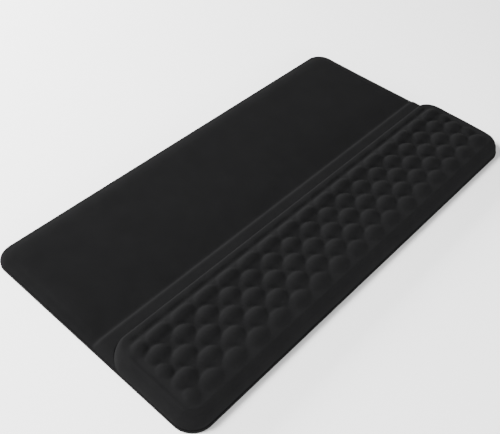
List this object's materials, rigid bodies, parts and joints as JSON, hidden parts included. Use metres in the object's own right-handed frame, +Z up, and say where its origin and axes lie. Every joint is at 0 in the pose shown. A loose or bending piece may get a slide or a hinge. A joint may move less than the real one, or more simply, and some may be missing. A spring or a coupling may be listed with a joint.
{
  "type": "keyboard wrist rest mat",
  "caption": "Flat keyboard mat with a low stop bar and a raised, padded wrist cushion along its front edge, on a non-slip base.",
  "frame": {"origin": "centre of the underside, on the surface that the mat lies on", "axes": "+X along the mat from left to right as the typist sees it, +Y from the front edge (wrist cushion) towards the rear of the deck, +Z up"},
  "size_m": [0.44, 0.24, 0.0195],
  "materials": {
    "cover_fabric": "matt black stretch knit with a soft sheen at grazing angles",
    "non_slip_base": "matt black, finely textured underneath",
    "firm_foam": "matt dark grey fine-celled foam",
    "memory_foam": "matt pale cream slow-recovery foam"
  },
  "bodies": {
    "root": {"base_sheet": "non_slip_base", "deck_foam": "firm_foam", "stop_bar_core": "firm_foam", "wrist_foam": "memory_foam", "deck_cover": "cover_fabric", "wrist_cover": "cover_fabric"}
  },
  "joints": []
}
